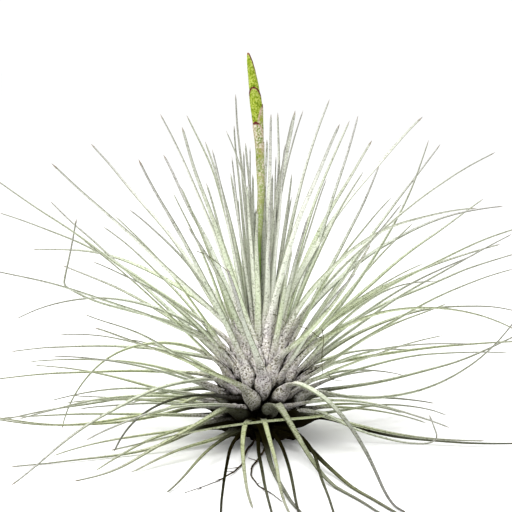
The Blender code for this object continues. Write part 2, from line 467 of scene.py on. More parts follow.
class Tree:
    """A node tree under construction."""

    def __init__(self, tree: bpy.types.NodeTree) -> None:
        """Keeps the tree to add nodes to."""
        self.tree = tree

    def node(self, kind: str, **settings: object) -> bpy.types.Node:
        """Adds a node.

        Args:
            kind: its type.
            **settings: its properties.

        Returns:
            The node.
        """
        made = self.tree.nodes.new(kind)
        for key, value in settings.items():
            setattr(made, key, value)
        return made

    def feed(self, socket: bpy.types.NodeSocket, value: object) -> None:
        """Links a socket to another one, or sets it to a plain value.

        Args:
            socket: the socket.
            value: another socket, a number, a place or a colour.
        """
        if isinstance(value, bpy.types.NodeSocket):
            self.tree.links.new(value, socket)
        elif socket.type == "RGBA":
            socket.default_value = (*value, 1.0)
        else:
            socket.default_value = value

    def line(self, value: object, slope: object, start: object = 0.0) -> bpy.types.NodeSocket:
        """Multiplies a number and adds to it.

        Args:
            value: the number.
            slope: what it is multiplied by.
            start: what is added.

        Returns:
            The sum, kept between 0 and 1.
        """
        made = self.node("ShaderNodeMath", operation="MULTIPLY_ADD", use_clamp=True)
        for socket, given in zip(made.inputs, (value, slope, start)):
            self.feed(socket, given)
        return made.outputs[0]

    def times(self, *factors: object) -> bpy.types.NodeSocket:
        """The product of two or more numbers, kept between 0 and 1."""
        return functools.reduce(self.line, factors)

    def blend(self, share: object, a: object, b: object) -> bpy.types.NodeSocket:
        """Mixes two colours.

        Args:
            share: how much of the second one shows.
            a: the first colour.
            b: the second colour.

        Returns:
            The mixed colour.
        """
        made = self.node("ShaderNodeMix", data_type="RGBA")
        self.feed(made.inputs["Factor"], share)
        self.feed(made.inputs[6], a)
        self.feed(made.inputs[7], b)
        return made.outputs[2]

    def span(self, value: object, low: float, high: float) -> bpy.types.NodeSocket:
        """Turns a number into a share.

        Args:
            value: the number.
            low: where the share is 0.
            high: where the share is 1, above low or below it.

        Returns:
            The share, which starts and ends gently.
        """
        made = self.node("ShaderNodeMapRange", interpolation_type="SMOOTHSTEP")
        self.feed(made.inputs["Value"], value)
        made.inputs["From Min"].default_value = low
        made.inputs["From Max"].default_value = high
        return made.outputs["Result"]

    def channel(self, channel: Channel) -> bpy.types.NodeSocket:
        """The number kept at the surface under that name."""
        return self.node("ShaderNodeAttribute", attribute_name=channel.value).outputs["Fac"]

    def noise(self, at: object, scale: object, detail: float, roughness: float) -> bpy.types.NodeSocket:
        """A soft random number over the surface.

        Args:
            at: the place it is read from.
            scale: how many of its features go into a metre.
            detail: how much finer it gets.
            roughness: how strong the finer features are.

        Returns:
            The number.
        """
        made = self.node("ShaderNodeTexNoise")
        self.feed(made.inputs["Vector"], at)
        self.feed(made.inputs["Scale"], scale)
        made.inputs["Detail"].default_value = detail
        made.inputs["Roughness"].default_value = roughness
        return made.outputs["Fac"]


@dataclass(frozen=True)
class SharedEffect:
    """A node group that more than one finish uses, made once."""

    name: str
    inputs: tuple[tuple[str, str, float], ...]
    outputs: tuple[tuple[str, str], ...]

    def group(self) -> bpy.types.NodeTree:
        """Finds the group, and makes it the first time.

        Returns:
            The group's own node tree.
        """
        made = bpy.data.node_groups.get(self.name)
        if made is None:
            made = bpy.data.node_groups.new(self.name, "ShaderNodeTree")
            for label, kind, start in self.inputs:
                socket = made.interface.new_socket(label, in_out="INPUT", socket_type=kind)
                if kind == "NodeSocketFloat":
                    socket.default_value = start
            for label, kind in self.outputs:
                made.interface.new_socket(label, in_out="OUTPUT", socket_type=kind)
            sheet = Tree(made)
            self.fill(sheet, sheet.node("NodeGroupInput").outputs, sheet.node("NodeGroupOutput").inputs)
        return made

    def fill(self, sheet: Tree, given: object, wanted: object) -> None:
        """Builds the group's inside, from what it is given to what is wanted of it."""
        raise NotImplementedError

    def place(self, sheet: Tree, **values: object) -> bpy.types.Node:
        """Puts the effect into a finish.

        Args:
            sheet: the finish's node tree.
            **values: its inputs, by name with underscores for spaces.

        Returns:
            The group's node.
        """
        made = sheet.node("ShaderNodeGroup", node_tree=self.group())
        for key, value in values.items():
            sheet.feed(made.inputs[key.replace("_", " ")], value)
        return made


@dataclass(frozen=True)
class Scurf(SharedEffect):
    """The felt of tiny pale scales, with the darker skin showing between them."""

    name: str = "scurf"
    inputs: tuple[tuple[str, str, float], ...] = (
        ("Place", "NodeSocketVector", 0.0),
        ("Scales per metre", "NodeSocketFloat", 1500.0),
        ("Cover", "NodeSocketFloat", 0.5),
    )
    outputs: tuple[tuple[str, str], ...] = (
        ("Scales", "NodeSocketFloat"),
        ("Gaps", "NodeSocketFloat"),
        ("Relief", "NodeSocketFloat"),
    )

    def fill(self, sheet: Tree, given: object, wanted: object) -> None:
        """Lays pale flecks by a fine noise, thinned where a coarser one is low, and dark pits between.

        Args:
            sheet: the group's node tree.
            given: its inputs.
            wanted: its outputs.
        """
        fine = sheet.noise(given["Place"], given["Scales per metre"], 1.5, 0.6)
        patches = sheet.node("ShaderNodeMath", operation="MULTIPLY")
        sheet.feed(patches.inputs[0], given["Scales per metre"])
        patches.inputs[1].default_value = 0.16
        coarse = sheet.noise(given["Place"], patches.outputs[0], 2.0, 0.6)
        cells = sheet.node("ShaderNodeTexVoronoi", feature="F1")
        sheet.feed(cells.inputs["Vector"], given["Place"])
        sheet.feed(cells.inputs["Scale"], given["Scales per metre"])
        cover = sheet.line(coarse, 0.5, sheet.line(given["Cover"], 0.5))
        dome = sheet.line(cells.outputs["Distance"], -1.0, 1.0)
        sheet.feed(wanted["Scales"], sheet.times(sheet.span(fine, 0.5, 0.57), sheet.span(cover, 0.28, 0.55)))
        sheet.feed(wanted["Gaps"], sheet.times(sheet.span(fine, 0.46, 0.38), sheet.span(coarse, 0.68, 0.42)))
        sheet.feed(wanted["Relief"], sheet.line(dome, 0.45, sheet.line(fine, 0.55)))


@dataclass(frozen=True)
class Mottle(SharedEffect):
    """Slow, blotchy change of tone over a few millimetres."""

    name: str = "mottle"
    inputs: tuple[tuple[str, str, float], ...] = (
        ("Place", "NodeSocketVector", 0.0),
        ("Blotches per metre", "NodeSocketFloat", 160.0),
    )
    outputs: tuple[tuple[str, str], ...] = (("Blotch", "NodeSocketFloat"), ("Stain", "NodeSocketFloat"))

    def fill(self, sheet: Tree, given: object, wanted: object) -> None:
        """Makes one even blotch pattern and one of rarer stains.

        Args:
            sheet: the group's node tree.
            given: its inputs.
            wanted: its outputs.
        """
        base = sheet.noise(given["Place"], given["Blotches per metre"], 2.0, 0.55)
        sheet.feed(wanted["Blotch"], sheet.span(base, 0.35, 0.65))
        shifted = sheet.node("ShaderNodeVectorMath", operation="ADD")
        sheet.feed(shifted.inputs[0], given["Place"])
        shifted.inputs[1].default_value = (0.31, 0.17, 0.43)
        rare = sheet.noise(shifted.outputs[0], given["Blotches per metre"], 3.0, 0.6)
        sheet.feed(wanted["Stain"], sheet.span(rare, 0.54, 0.72))


class Finish:
    """A procedural finish: its shader, its place on the surface and its bump."""

    def __init__(self, name: str, roughness: float) -> None:
        """Makes the material with its shader.

        Args:
            name: the material's name.
            roughness: how rough it is all over.
        """
        self.material = bpy.data.materials.new(name)
        self.material.use_nodes = True
        self.sheet = Tree(self.material.node_tree)
        self.shader = self.material.node_tree.nodes["Principled BSDF"]
        self.shader.inputs["Roughness"].default_value = roughness
        self.shader.inputs["Specular IOR Level"].default_value = 0.0
        self.place = self.sheet.node("ShaderNodeTexCoord").outputs["Object"]

    def colour(self, value: bpy.types.NodeSocket) -> None:
        """Sets the colour over the surface."""
        self.sheet.feed(self.shader.inputs["Base Color"], value)

    def bump(self, height: bpy.types.NodeSocket, strength: float, depth: float) -> None:
        """Adds relief.

        Args:
            height: the relief over the surface, from 0 to 1.
            strength: how much of it shows.
            depth: how deep it is, in metres.
        """
        made = self.sheet.node("ShaderNodeBump")
        made.inputs["Strength"].default_value = strength
        made.inputs["Distance"].default_value = depth
        self.sheet.feed(made.inputs["Height"], height)
        self.sheet.feed(self.shader.inputs["Normal"], made.outputs["Normal"])


@dataclass(frozen=True)
class LeafFinish:
    """Grey-green leaf skin under silver scurf: lilac and beige on the bulb, olive on old leaves."""

    old_green: tuple[float, float, float] = (0.37, 0.405, 0.17)
    young_green: tuple[float, float, float] = (0.61, 0.70, 0.47)
    cool_green: tuple[float, float, float] = (0.53, 0.565, 0.49)
    margin: tuple[float, float, float] = (0.085, 0.095, 0.04)
    dry_tip: tuple[float, float, float] = (0.30, 0.29, 0.285)
    burnt_tip: tuple[float, float, float] = (0.20, 0.155, 0.115)
    silver: tuple[float, float, float] = (0.80, 0.80, 0.74)
    beige: tuple[float, float, float] = (0.58, 0.54, 0.41)
    lilac: tuple[float, float, float] = (0.57, 0.50, 0.53)
    chalk: tuple[float, float, float] = (0.98, 0.95, 0.93)
    skin: tuple[float, float, float] = (0.055, 0.047, 0.03)
    # The colour of painted shade in creases, on undersides and where leaves crowd.
    crevice_shade: tuple[float, float, float] = (0.010, 0.008, 0.004)
    # Near black: dead leaf bases, and painted shade at the foot and on a few leaves that hang in front.
    dead: tuple[float, float, float] = (0.006, 0.005, 0.0012)
    # Where along a leaf, out towards its edge or up from what youth each change starts and is done.
    dries: tuple[float, float] = (0.4, 0.95)
    burns: tuple[float, float] = (0.975, 0.998)
    silvers: tuple[float, float] = (0.78, 0.95)
    darkens_to_margin: tuple[float, float] = (0.68, 1.0)
    shades_to_rim: tuple[float, float] = (0.85, 1.0)
    loses_felt: tuple[float, float] = (0.45, 0.2)
    # Where painted shade under old leaves ends, along the leaf.
    shades_near_foot: tuple[float, float] = (0.42, 0.12)
    # Where painted shade falls on sides that face down.
    shades_facing_down: tuple[float, float] = (0.0, -0.8)
    # Where painted shade falls in places that other leaves crowd.
    occlusion_shades: tuple[float, float] = (0.47, 0.76)

    def make(self) -> bpy.types.Material:
        """Builds the finish, which reads the leaf's channels.

        Returns:
            The material.
        """
        finish = Finish("leaf_scurf", 0.85)
        sheet = finish.sheet
        youth, sheath = sheet.channel(Channel.YOUTH), sheet.channel(Channel.SHEATH)
        scurf = Scurf().place(sheet, Place=finish.place, Cover=sheet.line(sheath, 0.5, 0.42)).outputs
        mottle = Mottle().place(sheet, Place=finish.place).outputs
        felted = sheet.line(sheet.span(youth, *self.loses_felt), -0.9, 1.0)
        blade, bulb = self.blade(sheet, scurf, mottle), self.bulb(sheet, scurf, mottle)
        finish.colour(self.shade_darkened(sheet, sheet.blend(sheet.times(sheath, felted), blade, bulb)))
        finish.bump(scurf["Relief"], 0.55, 0.25 * MM)
        return finish.material

    def blade(self, sheet: Tree, scurf: object, mottle: object) -> bpy.types.NodeSocket:
        """Colours the blade: green, dry towards its tip, flecked with silver and dark along its margins.

        Args:
            sheet: the finish's node tree.
            scurf: the scurf's outputs.
            mottle: the mottle's outputs.

        Returns:
            The colour.
        """
        along, youth, tone, edge = (
            sheet.channel(c) for c in (Channel.ALONG, Channel.YOUTH, Channel.TONE, Channel.EDGE)
        )
        skin = sheet.blend(youth, self.old_green, self.young_green)
        skin = sheet.blend(sheet.line(tone, 0.8), skin, self.cool_green)
        skin = sheet.blend(sheet.line(mottle["Stain"], 0.25), skin, self.beige)
        dryness = sheet.line(tone, 0.3, 0.62)
        skin = sheet.blend(sheet.times(sheet.span(along, *self.dries), dryness), skin, self.dry_tip)
        silvered = sheet.times(sheet.span(youth, *self.silvers), sheet.span(along, 1.0, 0.7), 0.5)
        skin = sheet.blend(silvered, skin, self.silver)
        skin = sheet.blend(sheet.span(along, *self.burns), skin, self.burnt_tip)
        flecked = sheet.times(scurf["Scales"], sheet.line(along, -0.62, 0.8), sheet.line(youth, 0.6, 0.35))
        skin = sheet.blend(flecked, skin, self.silver)
        skin = sheet.blend(sheet.times(scurf["Gaps"], sheet.line(youth, -0.4, 0.8)), skin, self.skin)
        border = sheet.times(sheet.span(edge, *self.darkens_to_margin), sheet.line(youth, -0.25, 0.85))
        return sheet.blend(border, skin, self.margin)

    def bulb(self, sheet: Tree, scurf: object, mottle: object) -> bpy.types.NodeSocket:
        """Colours the sheath: beige and lilac felt with chalky flecks, dark pits and painted shade along its
        rim.

        Args:
            sheet: the finish's node tree.
            scurf: the scurf's outputs.
            mottle: the mottle's outputs.

        Returns:
            The colour.
        """
        skin = sheet.blend(mottle["Blotch"], self.beige, self.lilac)
        skin = sheet.blend(sheet.line(sheet.channel(Channel.YOUTH), 0.3), skin, self.chalk)
        skin = sheet.blend(scurf["Scales"], skin, self.chalk)
        skin = sheet.blend(sheet.line(scurf["Gaps"], 0.95), skin, self.skin)
        # Painted shade along the sheath's edges, where it meets the next one.
        rim_shade = sheet.line(sheet.span(sheet.channel(Channel.EDGE), *self.shades_to_rim), 0.4)
        return sheet.blend(rim_shade, skin, self.crevice_shade)

    def shade_darkened(self, sheet: Tree, skin: bpy.types.NodeSocket) -> bpy.types.NodeSocket:
        """Darkens the skin with painted shade under old leaves near their feet, on sides that face down and
        where other leaves crowd close, and towards near black where its dark mark is set.

        Args:
            sheet: the finish's node tree.
            skin: the colour so far.

        Returns:
            The darkened colour.
        """
        youth, along = sheet.channel(Channel.YOUTH), sheet.channel(Channel.ALONG)
        # Painted shade on the undersides of old leaves near their feet.
        old, near = sheet.line(youth, -1.0, 1.0), sheet.span(along, *self.shades_near_foot)
        shaded_under = sheet.times(sheet.channel(Channel.UNDER), old, near, 0.6)
        skin = sheet.blend(shaded_under, skin, self.crevice_shade)
        # Near black where the dark mark is set: dead tissue together with painted shade.
        skin = sheet.blend(sheet.channel(Channel.DARK), skin, self.dead)
        # Painted shade on the sheaths' sides that face the floor, darker the more they face down.
        upward = sheet.node("ShaderNodeSeparateXYZ")
        sheet.feed(upward.inputs[0], sheet.node("ShaderNodeNewGeometry").outputs["Normal"])
        facing_down_shade = sheet.span(upward.outputs["Z"], *self.shades_facing_down)
        skin = sheet.blend(sheet.times(facing_down_shade, sheet.channel(Channel.SHEATH), 0.6), skin, self.crevice_shade)
        # Painted shade where other leaves close round a point.
        crowd = sheet.times(sheet.channel(Channel.CROWD), sheet.line(youth, -0.3, 1.0))
        return sheet.blend(sheet.span(crowd, *self.occlusion_shades), skin, self.crevice_shade)


@dataclass(frozen=True)
class BractFinish:
    """Lime bract skin that is scurfy and blushed below, with a wine-dark margin round its point."""

    lime: tuple[float, float, float] = (0.23, 0.29, 0.025)
    bright: tuple[float, float, float] = (0.42, 0.47, 0.13)
    deep: tuple[float, float, float] = (0.075, 0.13, 0.006)
    felt: tuple[float, float, float] = (0.27, 0.31, 0.14)
    chalk: tuple[float, float, float] = (0.60, 0.56, 0.47)
    blush: tuple[float, float, float] = (0.42, 0.25, 0.23)
    fresh: tuple[float, float, float] = (0.20, 0.24, 0.012)
    wine: tuple[float, float, float] = (0.085, 0.012, 0.016)
    brown: tuple[float, float, float] = (0.20, 0.09, 0.05)
    olive: tuple[float, float, float] = (0.30, 0.37, 0.13)
    shade: tuple[float, float, float] = (0.13, 0.23, 0.05)

    # Up from what youth each change starts and is done.
    olive_below: tuple[float, float] = (0.52, 0.34)
    shade_below: tuple[float, float] = (0.38, 0.28)
    lime_above: tuple[float, float] = (0.62, 0.9)

    def make(self) -> bpy.types.Material:
        """Builds the finish, which reads the bract's channels.

        Returns:
            The material.
        """
        finish = Finish("bract_skin", 0.55)
        sheet = finish.sheet
        youth = sheet.channel(Channel.YOUTH)
        scurf = Scurf().place(sheet, Place=finish.place, Cover=0.75).outputs
        mottle = Mottle().place(sheet, Place=finish.place, Blotches_per_metre=240.0).outputs
        green = sheet.blend(sheet.line(mottle["Blotch"], 0.35), self.lime, self.deep)
        green = sheet.blend(sheet.line(scurf["Scales"], 0.55), green, self.bright)
        green = sheet.blend(sheet.line(scurf["Gaps"], 0.85), green, self.deep)
        skin = sheet.blend(sheet.span(youth, *self.lime_above), self.felted(sheet, scurf, mottle), green)
        finish.colour(self.pointed(sheet, skin))
        finish.bump(scurf["Relief"], 0.35, 0.15 * MM)
        return finish.material

    def felted(self, sheet: Tree, scurf: object, mottle: object) -> bpy.types.NodeSocket:
        """Colours the scurfy lower bracts: pink and pale above, olive and shaded below.

        Args:
            sheet: the finish's node tree.
            scurf: the scurf's outputs.
            mottle: the mottle's outputs.

        Returns:
            The colour.
        """
        youth = sheet.channel(Channel.YOUTH)
        skin = sheet.blend(sheet.line(mottle["Blotch"], 0.45), self.felt, self.blush)
        skin = sheet.blend(sheet.line(scurf["Scales"], 0.7), skin, self.chalk)
        skin = sheet.blend(sheet.line(scurf["Gaps"], 0.9), skin, self.deep)
        skin = sheet.blend(sheet.line(mottle["Stain"], 0.85), skin, self.fresh)
        low = sheet.times(sheet.span(youth, *self.olive_below), 0.8, sheet.line(scurf["Scales"], -0.6, 1.0))
        skin = sheet.blend(low, skin, self.olive)
        return sheet.blend(sheet.line(sheet.span(youth, *self.shade_below), 0.8), skin, self.shade)

    def pointed(self, sheet: Tree, skin: bpy.types.NodeSocket) -> bpy.types.NodeSocket:
        """Darkens a bract's foot with painted shade and blushes its point, with wine on the upper ones and
        brown on the last.

        Args:
            sheet: the finish's node tree.
            skin: the colour so far.

        Returns:
            The colour.
        """
        along, youth, edge = (sheet.channel(c) for c in (Channel.ALONG, Channel.YOUTH, Channel.EDGE))
        point, high = sheet.span(along, 0.6, 0.9), sheet.span(youth, 0.4, 0.6)
        # Painted shade: darker towards the bract's foot.
        skin = sheet.blend(sheet.line(sheet.span(along, 0.6, 0.1), 0.4), skin, self.deep)
        blushed = sheet.times(sheet.span(edge, 0.0, 0.4), point, sheet.line(high, 0.35, 0.2))
        skin = sheet.blend(blushed, skin, self.blush)
        margin = sheet.times(sheet.span(edge, 0.12, 0.4), point, sheet.span(youth, 0.85, 0.95))
        skin = sheet.blend(margin, skin, self.wine)
        spot = sheet.times(sheet.span(along, 0.93, 0.97), high, sheet.span(youth, 0.8, 0.7))
        skin = sheet.blend(spot, skin, self.wine)
        closing = sheet.times(sheet.span(along, 0.955, 0.985), sheet.span(youth, 0.96, 1.0))
        return sheet.blend(closing, skin, self.brown)


@dataclass(frozen=True)
class StalkFinish:
    """Yellow-green stalk skin under thin scurf, deeper green towards its foot as painted shade among the
    leaves.
    """

    bright: tuple[float, float, float] = (0.28, 0.33, 0.04)
    deep: tuple[float, float, float] = (0.10, 0.18, 0.03)
    felt: tuple[float, float, float] = (0.45, 0.47, 0.27)

    def make(self) -> bpy.types.Material:
        """Builds the finish.

        Returns:
            The material.
        """
        finish = Finish("stalk_skin", 0.6)
        sheet = finish.sheet
        scurf = Scurf().place(sheet, Place=finish.place, Cover=0.4).outputs
        mottle = Mottle().place(sheet, Place=finish.place, Blotches_per_metre=230.0).outputs
        # Painted shade: deeper green towards the foot, among the leaves.
        skin = sheet.blend(sheet.span(sheet.channel(Channel.ALONG), 0.2, 0.6), self.deep, self.bright)
        skin = sheet.blend(sheet.line(mottle["Stain"], 0.4), skin, self.deep)
        finish.colour(sheet.blend(sheet.line(scurf["Scales"], 0.5), skin, self.felt))
        finish.bump(scurf["Relief"], 0.35, 0.15 * MM)
        return finish.material


@dataclass(frozen=True)
class FibreFinish:
    """Dark dry fibre: the foot, its hairs and the roots."""

    name: str = "dark_fibre"
    dark: tuple[float, float, float] = (0.004, 0.003, 0.002)
    light: tuple[float, float, float] = (0.014, 0.009, 0.005)
    strands: float = 900.0

    def make(self) -> bpy.types.Material:
        """Builds the finish, streaked along the height.

        Returns:
            The material.
        """
        finish = Finish(self.name, 0.85)
        sheet = finish.sheet
        squeezed = sheet.node("ShaderNodeVectorMath", operation="MULTIPLY")
        sheet.feed(squeezed.inputs[0], finish.place)
        squeezed.inputs[1].default_value = (1.0, 1.0, 0.25)
        streak = sheet.noise(squeezed.outputs[0], self.strands, 4.0, 0.7)
        mottle = Mottle().place(sheet, Place=finish.place, Blotches_per_metre=320.0).outputs
        skin = sheet.blend(sheet.span(streak, 0.42, 0.7), self.dark, self.light)
        finish.colour(sheet.blend(sheet.line(mottle["Stain"], 0.5), skin, self.light))
        finish.bump(streak, 0.8, 0.4 * MM)
        return finish.material


@dataclass(frozen=True)
class FloorFinish:
    """The plain pale floor."""

    pale: tuple[float, float, float] = (0.93, 0.93, 0.93)

    def make(self) -> bpy.types.Material:
        """Builds the finish.

        Returns:
            The material.
        """
        finish = Finish("pale_floor", 0.6)
        finish.shader.inputs["Base Color"].default_value = (*self.pale, 1.0)
        return finish.material


# Leaves -----------------------------------------------------------------------------------------------------


@dataclass
class Leaf:
    """One leaf: a plump spoon-shaped sheath that narrows into a long grooved thread."""

    spine: Spine
    youth: float
    tone: float
    sheath: float = 21.0 * MM
    breadth: float = 7.0 * MM
    neck: float = 3.0 * MM
    fineness: float = 0.82 * MM
    taper: float = 0.75
    plump: float = 1.0
    # How near black it is at its foot and beyond: dead tissue, and on leaves round the foot and a few hanging
    # in front, painted shade.
    dark: float = 0.0
    dark_reach: float = 0.4
    dark_rest: float = 0.0
    waist: float = 1.3
    sides: int = 12

    def width_at(self, spoon: float, blade: float) -> float:
        """Finds its width.

        Args:
            spoon: how many sheath lengths lie between its foot and here.
            blade: the share of the blade passed.

        Returns:
            The width in metres.
        """
        if spoon >= self.waist:
            return mix(self.neck, self.fineness, blade**self.taper)
        end = (self.waist, self.neck / self.breadth)
        stops = ((0.0, 0.5), (0.28, 0.85), (0.46, 1.0), (0.6, 0.96), (0.84, 0.6), end)
        return self.breadth * profile(stops, spoon)

    def thickness_at(self, spoon: float, width: float) -> float:
        """Finds its thickness.

        Args:
            spoon: how many sheath lengths lie between its foot and here.
            width: its width here, in metres.

        Returns:
            The thickness in metres.
        """
        if spoon >= self.waist:
            return 0.62 * width
        full, end = self.plump * MM, (self.waist, 0.6 * self.neck)
        stops = ((0.0, 1.0 * MM), (0.44, 4.0 * full), (0.66, 3.5 * full), (0.9, 2.2 * full), end)
        return min(profile(stops, spoon), width)

    def sections(self) -> list[Section]:
        """Finds its cross-sections.

        Returns:
            The cross-sections, from foot to tip.
        """
        foot = self.spine.points[0]
        azimuth = math.atan2(foot.y, foot.x)
        frames = self.spine.frames(Vector((-math.sin(azimuth), math.cos(azimuth), 0.0)))
        total = self.spine.length()
        made = []
        for i, ((side, over), point) in enumerate(zip(frames[:-1], self.spine.points[:-1])):
            along = i * self.spine.step / total
            spoon = i * self.spine.step / self.sheath
            start = self.waist * self.sheath
            width = self.width_at(spoon, max(0.0, (i * self.spine.step - start) / (total - start)))
            hold = 1.0 - ease((spoon - 0.45) / 0.55)
            felt = (spoon - mix(0.6, 0.75, self.youth)) / mix(0.85, 1.25, self.youth)
            marks = {
                Channel.ALONG: along,
                Channel.SHEATH: 1.0 - ease(felt),
                Channel.YOUTH: self.youth,
                Channel.TONE: self.tone,
                Channel.DARK: mix(self.dark, self.dark_rest, ease(2.0 * along / self.dark_reach - 1.0)),
            }
            cup = mix(0.1, 0.33, hold) * width
            groove = mix(0.55, 0.25, hold)
            thickness = self.thickness_at(spoon, width)
            made.append(Section(point, side, over, width, thickness, cup, groove, marks))
        return made

    def grow(self, growth: Growth) -> None:
        """Adds its skin to a piece."""
        growth.loft(self.sections(), self.spine.points[-1], self.sides)


@dataclass
class Rosette:
    """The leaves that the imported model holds, each skinned afresh along its own solid's middle line."""

    count: int = 50
    step: float = 2.0 * MM
    waver: float = 1.1 * MM
    bend: float = 28.0 * MM
    floor: float = 0.7 * MM
    rounding: int = 8
    # The lowest this many leaves turn near black at their feet: dead leaf bases together with painted shade
    # under the bulb.
    dark_feet: int = 17
    # These leaves hang in front and are darkened along most of their length with painted shade.
    olive: tuple[int, ...] = (1, 4, 6, 14, 22)
    shaded_reach: float = 0.62
    shaded_share: float = 0.58

    def build(self, finish: bpy.types.Material) -> list[bpy.types.Object]:
        """Builds and dresses every leaf, in place of its solid.

        Args:
            finish: the leaf finish.

        Returns:
            The pieces.
        """
        chance = random.Random(SEED)
        made = []
        for number in range(self.count):
            node = f"leaf_{number + 1:02d}"
            spine = Spine.through(ring_middles(node), self.step).rounded(self.rounding)
            youth = number / (self.count - 1)
            # Whether this leaf gets that painted shade along its length.
            shade_darkened = number + 1 in self.olive
            leaf = Leaf(
                spine=spine.wavered(self.waver, self.bend, number + 1.0, self.floor),
                youth=youth,
                tone=chance.random(),
                sheath=mix(20.0, 22.0, youth) * MM,
                breadth=mix(7.4, 6.2, youth) * MM,
                neck=mix(2.5, 3.0, youth) * MM,
                taper=mix(0.62, 0.85, youth),
                plump=mix(1.1, 0.9, youth),
                dark=min(1.0, 2.0 * max(0.0, 1.0 - number / self.dark_feet)),
                dark_reach=self.shaded_reach if shade_darkened else max(0.24, mix(0.42, 0.24, number / self.dark_feet)),
                dark_rest=self.shaded_share if shade_darkened else 0.0,
            )
            growth = Growth()
            leaf.grow(growth)
            made.append(dress(growth.link(f"main_{node}"), finish, Slot.LEAF, node))
        return made


@dataclass(frozen=True)
class Reach:
    """Where one fine leaf goes, in millimetres and degrees."""

    tip: tuple[float, float, float]
    height: float
    rise: float
    end_rise: float
    swing: float = 0.0
    width: float = 2.6
    dark: float = 0.0
    dark_reach: float = 0.4
    dark_rest: float = 0.0

    def spine(self, step: float, seed: float) -> Spine:
        """Its middle line from the stem to its tip.

        Args:
            step: how far apart the line's points are, in metres.
            seed: which of the many ways it wavers.

        Returns:
            The line.
        """
        tip = Vector(self.tip) * MM
        aim = math.atan2(tip.y, tip.x)
        turn = aim + math.radians(self.swing)
        out = stem_radius(self.height * MM)
        foot = Vector((out * math.cos(turn), out * math.sin(turn), self.height * MM))
        chord = (tip - foot).length
        first = foot + heading(turn, self.rise) * (0.4 * chord)
        last = tip - heading(aim - math.radians(self.swing) * 0.5, self.end_rise) * (0.36 * chord)
        cuts = 24
        knots = []
        for i in range(cuts + 1):
            t = i / cuts
            s = 1.0 - t
            point = foot * s**3 + first * (3.0 * s * s * t) + last * (3.0 * s * t * t) + tip * t**3
            point.z = max(point.z, LOWEST)
            knots.append(point)
        return Spine(knots).evened(step).wavered(0.9 * MM, 26.0 * MM, seed, LOWEST)


def stem_radius(height: float) -> float:
    """The stem's radius at a height, both in metres."""
    return mix(5.4, 2.2, min(max(height / STEM_HEIGHT, 0.0), 1.0)) * MM


def heading(azimuth: float, rise: float) -> Vector:
    """The direction with an azimuth in radians and a rise in degrees."""
    flat = math.cos(math.radians(rise))
    return Vector((math.cos(azimuth) * flat, math.sin(azimuth) * flat, math.sin(math.radians(rise))))


@dataclass(frozen=True)
class Ring:
    """A ring of fine leaves all round the rosette, in millimetres and degrees from the first to the last."""

    name: str
    count: int
    start: float
    height: tuple[float, float]
    rise: tuple[float, float]
    length: tuple[float, float]
    fall: tuple[float, float]
    width: float = 2.4
    # How near black the feet are: dead leaf bases together with painted shade at the foot.
    dark: float = 0.0
    # Leaves that rise more than this are shorter at the front, by that share, so that the bulb shows.
    steep: float = 62.0
    shorter: float = 0.78
    # Others keep this far from straight ahead, and those that rise less than that grow at the back right.
    clear: float = 32.0
    flat: float = 14.0

    def reaches(self, chance: random.Random) -> list[Reach]:
        """Where its leaves go.

        Args:
            chance: the source of their small differences.

        Returns:
            One row for each leaf.
        """
        found = []
        for i in range(self.count):
            share = (i + 0.5) / self.count
            turn = math.radians(self.start + GOLDEN_ANGLE * i + chance.uniform(-14.0, 14.0))
            rise = mix(*self.rise, share) + chance.uniform(-5.0, 5.0)
            end = rise - chance.uniform(*self.fall)
            height = mix(*self.height, share)
            length = chance.uniform(*self.length)
            if math.sin(turn) < -0.6 and rise > self.steep:
                length *= self.shorter
            elif math.sin(turn) < -0.9:
                turn += math.copysign(math.radians(self.clear), math.cos(turn))
            if rise < self.flat and math.sin(turn) < -0.1 and math.cos(turn) > 0.0:
                turn = -turn
            way = heading(turn, 0.5 * (rise + end)) * (0.95 * length)
            tip = Vector((0.0, 0.0, height)) + way
            shrink = min(1.0, SPREAD / max(tip.xy.length, 1.0))
            tip = (tip.x * shrink, tip.y * shrink, max(tip.z, 0.8))
            swing = chance.uniform(-12.0, 12.0)
            width = self.width * chance.uniform(0.85, 1.2)
            found.append(Reach(tip, height, rise, end, swing, width, self.dark))
        return found


